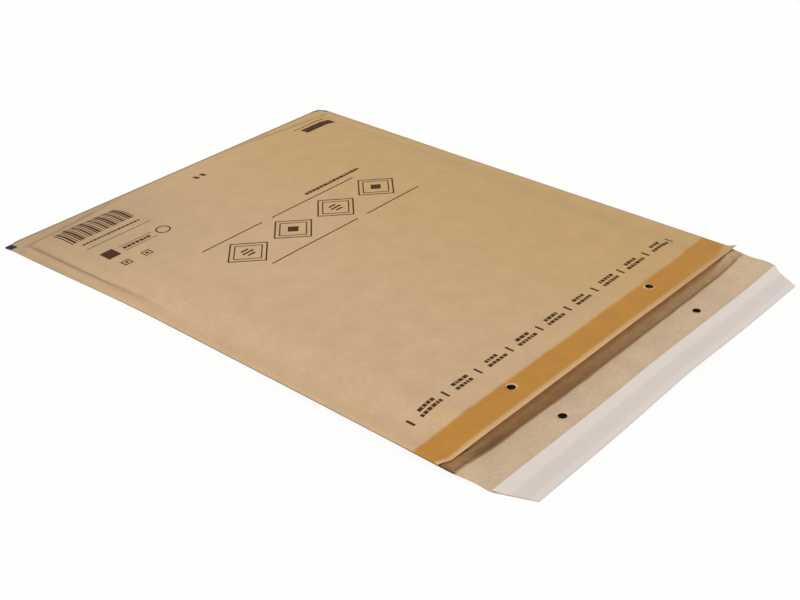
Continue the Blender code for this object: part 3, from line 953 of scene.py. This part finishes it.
class MAILER_OT_bubble_film(bpy.types.Operator):
    """Builds the folded bubble film: a flat inner web with rows of air bubbles on it"""

    bl_idname = "mailer.bubble_film"
    bl_label = "Bubble Film"

    def execute(self, context):
        cell = sizes().bubble_pitch / 2
        across = mirrored(graded(
            0.0, FILM_HALF_WIDTH, cell, (SEAM_X - SIDE_RAMP_MOUTH, FILM_HALF_WIDTH, cell / 2)))
        front = graded(FILM_FRONT_Y, FILM_FOLD_Y, cell, (MARGIN_Y - END_RAMP, FILM_FOLD_Y, cell / 2))
        back = graded(FILM_BACK_Y, FILM_FOLD_Y, cell, (MARGIN_Y - END_RAMP, FILM_FOLD_Y, cell / 2),
                      (FILM_BACK_Y, FILM_FRONT_Y + 0.006, cell / 3))
        stations = round_fold(front, back, 6)
        lengths = [float(index) for index in range(len(stations))]

        def place(x, station, outside):
            panel, value = station
            share = WEB_SHARE if outside else 0.0
            if panel == "front":
                return film_face(panel, x, value, share)
            if panel == "back":
                return film_face(panel, x, value + drawn_in(x, value), share)
            upper = film_face("front", x, FILM_FOLD_Y, share)
            lower = film_face("back", x, FILM_FOLD_Y, share)
            reach = (upper.z - lower.z) / 2
            height = lower.z + reach + reach * math.sin(value)
            return Vector((x, FILM_FOLD_Y + reach * math.cos(value), height))

        bm = bent_sheet(across, stations, lengths, place)
        film = piece_from("bubble_film", bm, [clear_film()])
        punch(film, FRONT_HOLE_SHIFT, FRONT_HOLE_Y, PAPER_HIGH.z / 2, PUNCH_TOP)
        bm = bmesh.new()
        bm.from_mesh(film.data)
        one_material(bm)
        self.add_bubbles(bm)
        bm.to_mesh(film.data)
        bm.free()
        film.data.shade_smooth()
        dress(film, "bubble_film", "bubble_liner")
        return {"FINISHED"}

    def add_bubbles(self, bm):
        """Adds the bubbles of both layers, clear of the cut ends, the crushed sides and the holes."""
        radius = sizes().bubble_diameter / 2
        pitch = sizes().bubble_pitch
        for panel, first in (("front", FILM_FRONT_Y), ("back", FILM_BACK_Y)):
            bubble = unit_bubble(radius)
            layer = bmesh.new()
            at = Vector((0.0, 0.0, 0.0))
            for y, shift in bubble_rows(first + radius + 0.001, FILM_FOLD_Y - radius):
                reach = FILM_HALF_WIDTH - radius - 0.001
                first_column = -int((reach + shift) / pitch)
                last_column = int((reach - shift) / pitch)
                for column in range(first_column, last_column + 1):
                    x = column * pitch + shift
                    punched = panel == "front" and in_hole(x, y, radius)
                    if fullness(x, y) < CRUSHED_BELOW or y < GLUE_END_Y or punched:
                        continue
                    bubble.transform(Matrix.Translation(Vector((x, y, 0.0)) - at))
                    at = Vector((x, y, 0.0))
                    layer.from_mesh(bubble)
            for corner in layer.verts:
                corner.co = film_face(panel, *corner.co)
            bmesh.ops.recalc_face_normals(layer, faces=layer.faces[:])
            layer.to_mesh(bubble)
            layer.free()
            bm.from_mesh(bubble)
            bpy.data.meshes.remove(bubble)


def in_hole(x, y, radius):
    """Whether a bubble at (x, y) would reach into a punched hole."""
    away = math.hypot(abs(x - FRONT_HOLE_SHIFT) - HOLE_SPACING / 2, y - FRONT_HOLE_Y)
    return away < radius + HOLE_DIAMETER / 2


def unit_bubble(radius):
    """One bubble over the web: a turned profile closed underneath, its height a share of 1."""
    bm = bmesh.new()
    profile = [(1.0, WEB_SHARE / 2), (0.94, 0.55), (0.66, 0.92), (0.0, 1.0)]
    corners = [bm.verts.new((radius * reach, 0.0, share)) for reach, share in profile]
    edges = [bm.edges.new(pair) for pair in zip(corners, corners[1:])]
    bmesh.ops.spin(
        bm, geom=corners + edges, cent=(0, 0, 0), axis=(0, 0, 1), dvec=(0, 0, 0),
        angle=2 * math.pi, steps=8, use_merge=True, use_duplicate=False)
    bmesh.ops.remove_doubles(bm, verts=bm.verts[:], dist=1e-6)
    bmesh.ops.holes_fill(bm, edges=[edge for edge in bm.edges if edge.is_boundary], sides=0)
    mesh = bpy.data.meshes.new("bubble")
    bm.to_mesh(mesh)
    bm.free()
    return mesh


class MAILER_OT_glue_bands(bpy.types.Operator):
    """Spreads the two hot-melt bands that hold the film to the front and the back panel"""

    bl_idname = "mailer.glue_bands"
    bl_label = "Glue Bands"

    def execute(self, context):
        resin = hot_melt()
        front = glue_band("front", FRONT_GLUE_LOW, FRONT_GLUE_HIGH, resin)
        punch(front, FRONT_HOLE_SHIFT, FRONT_HOLE_Y, PAPER_HIGH.z / 2, PUNCH_TOP)
        dress(front, "hot_melt", "glue_band_front")
        back = glue_band("back", BACK_GLUE_LOW, BACK_GLUE_HIGH, resin)
        dress(back, "hot_melt", "glue_band_back")
        return {"FINISHED"}


def glue_band(panel, low, high, resin):
    """A thin band between the film and one panel, its edges ragged as the glue spread."""
    across = graded(-high.x, high.x, 0.003)
    rows = graded(low.y, high.y, 0.002)
    middle = (low.y + high.y) / 2

    def place(x, y, outside):
        edge = abs(y - middle) / (high.y - middle)
        y += 0.0006 * edge ** 4 * noise.noise(Vector((x / 0.012, y / 0.01, 5.0)))
        depth = GLUE_CLEARANCE + (0.0 if outside else GLUE_THICKNESS)
        if panel == "front":
            return Vector((x, y, front_inside(x, y) - depth))
        y += drawn_in(x, y)
        return Vector((x, y, back_inside(x, y) + depth))

    return coat_from("glue_" + panel, across, rows, place, resin)


class MAILER_OT_flap_closure(bpy.types.Operator):
    """Builds the adhesive strip on the flap and the release liner that covers it"""

    bl_idname = "mailer.flap_closure"
    bl_label = "Flap Closure"

    def execute(self, context):
        def coat(column, y, outside):
            x = column * (half_width(y, column) - SEAL_SIDE_INSET) / HALF_WIDTH
            return Vector((x, y, back_inside(x, y) + (SEAL_HIGH.z - SEAL_LOW.z if outside else SEAL_GAP)))

        across = graded(-HALF_WIDTH, HALF_WIDTH, 0.005)
        rows = graded(SEAL_LOW.y, SEAL_HIGH.y, 0.003)
        strip = coat_from("seal_strip", across, rows, coat, seal_adhesive())
        dress(strip, "seal_adhesive", "flap_adhesive_strip")

        def cover(column, y, outside):
            x = column * half_width(y, column) / HALF_WIDTH
            loose = rise((y - SEAL_HIGH.y) / (DOG_EAR_Y - SEAL_HIGH.y))
            lift = 0.0005 * loose * (1.0 + 0.5 * noise.noise(Vector((x / 0.04, 2.0, 0.0))))
            over_paper = (RELEASE_HIGH.z if outside else RELEASE_LOW.z) - SEAL_LOW.z
            y += LINER_SLANT * rise(-column / HALF_WIDTH) * (y - FLAP_END_Y) / DOG_EAR_LENGTH
            return Vector((x, y, back_inside(x, y) + over_paper + lift))

        rows = graded(FLAP_END_Y, DOG_EAR_Y, 0.0015)
        liner = coat_from("release_strip", across, rows, cover, release_paper())
        dress(liner, "release_paper", "release_liner")
        return {"FINISHED"}


# Print. Every place is in the mailer's own frame; the shapes stand for nothing.

INK_CELL = 0.0026
MARK_ROW_Y = -0.1261
MARK_ROW_X = (-0.1279, 0.1213)
MARK_COUNT = 10
STRIPES_X = (-0.124, -0.072)
STRIPES_Y = (0.1705, 0.1940)
MOTIF_Y = 0.071
MOTIF_PITCH = 0.040
MOTIF_REACH = 0.0175


def add_bar(bm, x, y, width, length, turn=0.0):
    """A filled bar round (x, y), cut into cells so that it can follow the paper."""
    place = Matrix.Translation((x, y, 0.0)) @ Matrix.Rotation(turn, 4, "Z")
    place = place @ Matrix.Diagonal((width / 2, length / 2, 1.0, 1.0))
    bmesh.ops.create_grid(
        bm, x_segments=max(1, round(width / INK_CELL)), y_segments=max(1, round(length / INK_CELL)),
        size=1.0, matrix=place)


def add_outline(bm, x, y, reach, line, sides, turn=0.0):
    """The outline of a regular shape: its corners lie at a reach from (x, y)."""
    place = Matrix.Translation((x, y, 0.0)) @ Matrix.Rotation(turn, 4, "Z")
    made = bmesh.ops.create_circle(bm, cap_ends=True, segments=sides, radius=reach, matrix=place)
    inside = made["verts"][0].link_faces[0]
    bmesh.ops.inset_region(bm, faces=[inside], thickness=line, use_even_offset=True, use_boundary=True)
    bmesh.ops.delete(bm, geom=[inside], context="FACES_ONLY")


def add_dashes(bm, x, y, length, height, draw):
    """A run of short blocks with thin gaps, from x onwards."""
    end = x + length
    while x < end:
        width = draw.uniform(0.0014, 0.0034)
        add_bar(bm, x + width / 2, y, width, height)
        x += width + 0.0006


def lay_on_paper(name, bm, ink):
    """Lays flat shapes on the front panel as a thin coat of ink."""
    for _ in range(5):
        long_edges = [edge for edge in bm.edges if edge.calc_length() > 1.4 * INK_CELL]
        if not long_edges:
            break
        bmesh.ops.subdivide_edges(bm, edges=long_edges, cuts=1, use_grid_fill=True)
    grown = bmesh.ops.extrude_face_region(bm, geom=bm.faces[:])["geom"]
    top = {item for item in grown if isinstance(item, bmesh.types.BMVert)}
    lift = sizes().ink_lift
    for corner in bm.verts:
        height = front_outside(corner.co.x, corner.co.y)
        corner.co.z = height + (lift if corner in top else -lift)
    bmesh.ops.recalc_face_normals(bm, faces=bm.faces[:])
    coat = piece_from(name, bm, [ink])
    dress(coat, "kraft_paper")


class MAILER_OT_print(bpy.types.Operator):
    """Prints the plain bars, blocks and outlines on the front panel"""

    bl_idname = "mailer.print"
    bl_label = "Print"

    def execute(self, context):
        ink = printing_ink()
        lay_on_paper("printed_mark_row", self.mark_row(), ink)
        lay_on_paper("printed_stripes", self.stripes(), ink)
        lay_on_paper("printed_motifs", self.motifs(), ink)
        lay_on_paper("printed_blocks", self.blocks(), ink)
        return {"FINISHED"}

    def mark_row(self):
        """Ticks along the mouth, with two short lines of blocks between each pair."""
        bm = bmesh.new()
        draw = random.Random(11)
        gap = (MARK_ROW_X[1] - MARK_ROW_X[0]) / (MARK_COUNT - 1)
        for x in spread(*MARK_ROW_X, MARK_COUNT - 1):
            add_bar(bm, x, MARK_ROW_Y, 0.0015, 0.0060)
            if x < MARK_ROW_X[1] - gap / 2:
                long, short = draw.uniform(0.013, 0.017), draw.uniform(0.009, 0.012)
                add_dashes(bm, x + gap / 2 - short / 2, MARK_ROW_Y + 0.0022, short, 0.0024, draw)
                add_dashes(bm, x + gap / 2 - long / 2, MARK_ROW_Y - 0.0018, long, 0.0024, draw)
        return bm

    def stripes(self):
        """A field of upright stripes in a plain repeating rhythm."""
        bm = bmesh.new()
        rhythm = (0.5, 1.1, 0.5, 0.8, 1.4, 0.5)
        count = sizes().stripe_count
        pitch = (STRIPES_X[1] - STRIPES_X[0]) / count
        middle = (STRIPES_Y[0] + STRIPES_Y[1]) / 2
        for index in range(count):
            width = pitch * 0.66 * rhythm[index % len(rhythm)]
            add_bar(bm, STRIPES_X[0] + pitch * (index + 0.5), middle, width, STRIPES_Y[1] - STRIPES_Y[0])
        return bm

    def motifs(self):
        """A row of four hollow diamonds between broken rules."""
        bm = bmesh.new()
        for index in range(4):
            x = (index - 1.5) * MOTIF_PITCH
            add_outline(bm, x, MOTIF_Y, MOTIF_REACH, 0.0010, 4)
            add_outline(bm, x, MOTIF_Y, MOTIF_REACH * 0.74, 0.0008, 4)
            if index % 2:
                add_bar(bm, x, MOTIF_Y, 0.0070, 0.0070, math.radians(45))
            else:
                for step in (-1, 0, 1):
                    add_bar(bm, x, MOTIF_Y + step * 0.0034, 0.0090 - 0.0030 * abs(step), 0.0016)
        for side in (-1, 1):
            for x, length in ((-0.052 * side, 0.052), (0.022 * side, 0.078)):
                add_bar(bm, x, MOTIF_Y + side * (MOTIF_REACH + 0.006), length, 0.0010)
        add_dashes(bm, 0.022, MOTIF_Y + MOTIF_REACH + 0.0135, 0.052, 0.0030, random.Random(5))
        return bm

    def blocks(self):
        """Small blocks and outlines under the stripes and in the far corner."""
        bm = bmesh.new()
        draw = random.Random(3)
        add_dashes(bm, -0.120, 0.1640, 0.046, 0.0018, draw)
        for bar in ((-0.096, 0.1570, 0.052, 0.0005), (-0.116, 0.1400, 0.0095, 0.0105),
                    (-0.094, 0.1432, 0.026, 0.0005), (-0.094, 0.1364, 0.026, 0.0005)):
            add_bar(bm, *bar)
        add_dashes(bm, -0.106, 0.1398, 0.022, 0.0026, draw)
        add_outline(bm, -0.073, 0.1400, 0.0052, 0.0010, 24)
        for x in (-0.116, -0.100):
            add_outline(bm, x, 0.1230, 0.0044, 0.0008, 4, math.radians(45))
            add_bar(bm, x, 0.1230, 0.0022, 0.0022)
        for x in (-0.006, 0.000):
            add_bar(bm, x, 0.1850, 0.0030, 0.0060)
        add_bar(bm, 0.114, 0.1815, 0.0300, 0.0080)
        add_dashes(bm, 0.097, 0.1905, 0.029, 0.0014, draw)
        return bm


# Stage.

class MAILER_OT_stage(bpy.types.Operator):
    """Sets the pale floor, the soft light and the camera"""

    bl_idname = "mailer.stage"
    bl_label = "Stage"

    def execute(self, context):
        scene = context.scene
        scene.view_settings.view_transform = "Standard"
        self.floor()
        self.world(scene)
        self.light()
        scene.camera = self.camera()
        return {"FINISHED"}

    def floor(self):
        """Painted board: matt and even, with a faint roller texture."""
        bm = bmesh.new()
        bmesh.ops.create_grid(bm, x_segments=8, y_segments=8, size=FLOOR_REACH)
        material, tree = new_material("matt_studio_board")
        spot = add(tree, "TexCoord").outputs["Object"]
        roller = add(tree, "TexNoise", {"Vector": spot, "Scale": 300.0})
        tone = add(tree, "Mix", {0: roller, 6: linear("F1F0EE"), 7: linear("F5F4F2")}, data_type="RGBA")
        # Painted shadow: the board is black well under the mailer, so the flap's holes show black.
        covered = self.covered(tree, spot)
        dark = add(tree, "Mix", {0: covered, 6: tone, 7: linear("0A0603")}, data_type="RGBA")
        shader = add(tree, "BsdfPrincipled", {
            "Base Color": dark, "Roughness": 0.9, "Specular IOR Level": 0.1})
        ray = add(tree, "LightPath")
        white = add(tree, "Emission", {"Color": (1.0, 1.0, 1.0), "Strength": 1.0})
        open_floor = add(tree, "Math", (1.0, covered), operation="SUBTRACT")
        share = add(tree, "Math", (ray.outputs["Is Camera Ray"], FLOOR_GLOW), operation="MULTIPLY")
        share = add(tree, "Math", (share, open_floor), operation="MULTIPLY")
        add(tree, "OutputMaterial", {"Surface": add(tree, "MixShader", (share, shader, white))})
        floor = piece_from("floor", bm, [material])

    def covered(self, tree, spot):
        """1 on the part of the floor well under the mailer, 0 elsewhere."""
        place = add(tree, "SeparateXYZ", (spot,))
        under = []
        for axis, reach in (("X", HALF_WIDTH - 0.03), ("Y", CLOSED_Y - 0.02)):
            distance = add(tree, "Math", (place.outputs[axis],), operation="ABSOLUTE")
            under.append(add(tree, "Math", (distance, reach), operation="LESS_THAN"))
        return add(tree, "Math", under, operation="MULTIPLY")

    def world(self, scene):
        world = bpy.data.worlds.new("pale_room")
        scene.world = world
        world.use_nodes = True
        tree = world.node_tree
        tree.nodes.clear()
        ray = add(tree, "LightPath").outputs
        seen = add(tree, "Math", (ray["Is Camera Ray"], ray["Is Glossy Ray"]), operation="MAXIMUM")
        seen = add(tree, "Math", (seen, ray["Is Transmission Ray"]), operation="MAXIMUM")
        room_light = add(tree, "Background", {"Color": ROOM_COLOUR, "Strength": ROOM_STRENGTH})
        white = add(tree, "Background", {"Color": (1.0, 1.0, 1.0), "Strength": 1.0})
        mixed = add(tree, "MixShader", (seen, room_light, white))
        add(tree, "OutputWorld", {"Surface": mixed})

    def light(self):
        """One broad lamp over the near long edge, so that its light runs along the mouth."""
        lamp = bpy.data.lights.new("window", "SUN")
        lamp.energy = LAMP_STRENGTH
        lamp.angle = LAMP_SPREAD
        lamp.color = LAMP_COLOUR
        holder = bpy.data.objects.new("window", lamp)
        bpy.context.scene.collection.objects.link(holder)
        holder.rotation_euler = LAMP_TOWARDS.to_track_quat("Z", "Y").to_euler()
        holder.location = LAMP_TOWARDS * 2.0

    def camera(self):
        data = bpy.data.cameras.new("camera")
        data.sensor_fit = "HORIZONTAL"
        data.sensor_width = SENSOR_WIDTH_MM
        data.lens = SENSOR_WIDTH_MM * FOCAL_LENGTH_PX / PICTURE_WIDTH_PX
        data.clip_start = 0.01
        data.clip_end = 50.0
        azimuth, elevation, roll = CAMERA_AZIMUTH, CAMERA_ELEVATION, CAMERA_ROLL
        back = Vector((math.sin(azimuth) * math.cos(elevation),
                       -math.cos(azimuth) * math.cos(elevation), math.sin(elevation)))
        right = Vector((math.cos(azimuth), math.sin(azimuth), 0.0))
        up = back.cross(right)
        turned_right = right * math.cos(roll) + up * math.sin(roll)
        turned_up = up * math.cos(roll) - right * math.sin(roll)
        holder = bpy.data.objects.new("camera", data)
        bpy.context.scene.collection.objects.link(holder)
        turn = Matrix((turned_right, turned_up, back)).transposed().to_4x4()
        holder.matrix_world = Matrix.Translation(CAMERA_EYE) @ turn
        return holder


class MAILER_PT_panel(bpy.types.Panel):
    """Lists the mailer's pieces and their sizes"""

    bl_idname = "MAILER_PT_panel"
    bl_label = "Kraft Bubble Mailer"
    bl_space_type = "VIEW_3D"
    bl_region_type = "UI"
    bl_category = "Mailer"

    def draw(self, context):
        for operator in OPERATORS:
            self.layout.operator(operator.bl_idname)
        for group in (context.scene.mailer_sizes, context.scene.mailer_colours):
            box = self.layout.box()
            for name in group.__annotations__:
                box.prop(group, name)


OPERATORS = (
    MAILER_OT_kraft_envelope,
    MAILER_OT_bubble_film,
    MAILER_OT_glue_bands,
    MAILER_OT_flap_closure,
    MAILER_OT_print,
    MAILER_OT_stage,
)
CLASSES = (MailerSizes, MailerColours, *OPERATORS, MAILER_PT_panel)


def register():
    for item in CLASSES:
        bpy.utils.register_class(item)
    bpy.types.Scene.mailer_sizes = PointerProperty(type=MailerSizes)
    bpy.types.Scene.mailer_colours = PointerProperty(type=MailerColours)


def unregister():
    del bpy.types.Scene.mailer_colours
    del bpy.types.Scene.mailer_sizes
    for item in reversed(CLASSES):
        bpy.utils.unregister_class(item)


def main():
    register()
    bpy.ops.mailer.kraft_envelope()
    bpy.ops.mailer.bubble_film()
    bpy.ops.mailer.glue_bands()
    bpy.ops.mailer.flap_closure()
    bpy.ops.mailer.print()
    bpy.ops.mailer.stage()


if __name__ == "__main__":
    main()
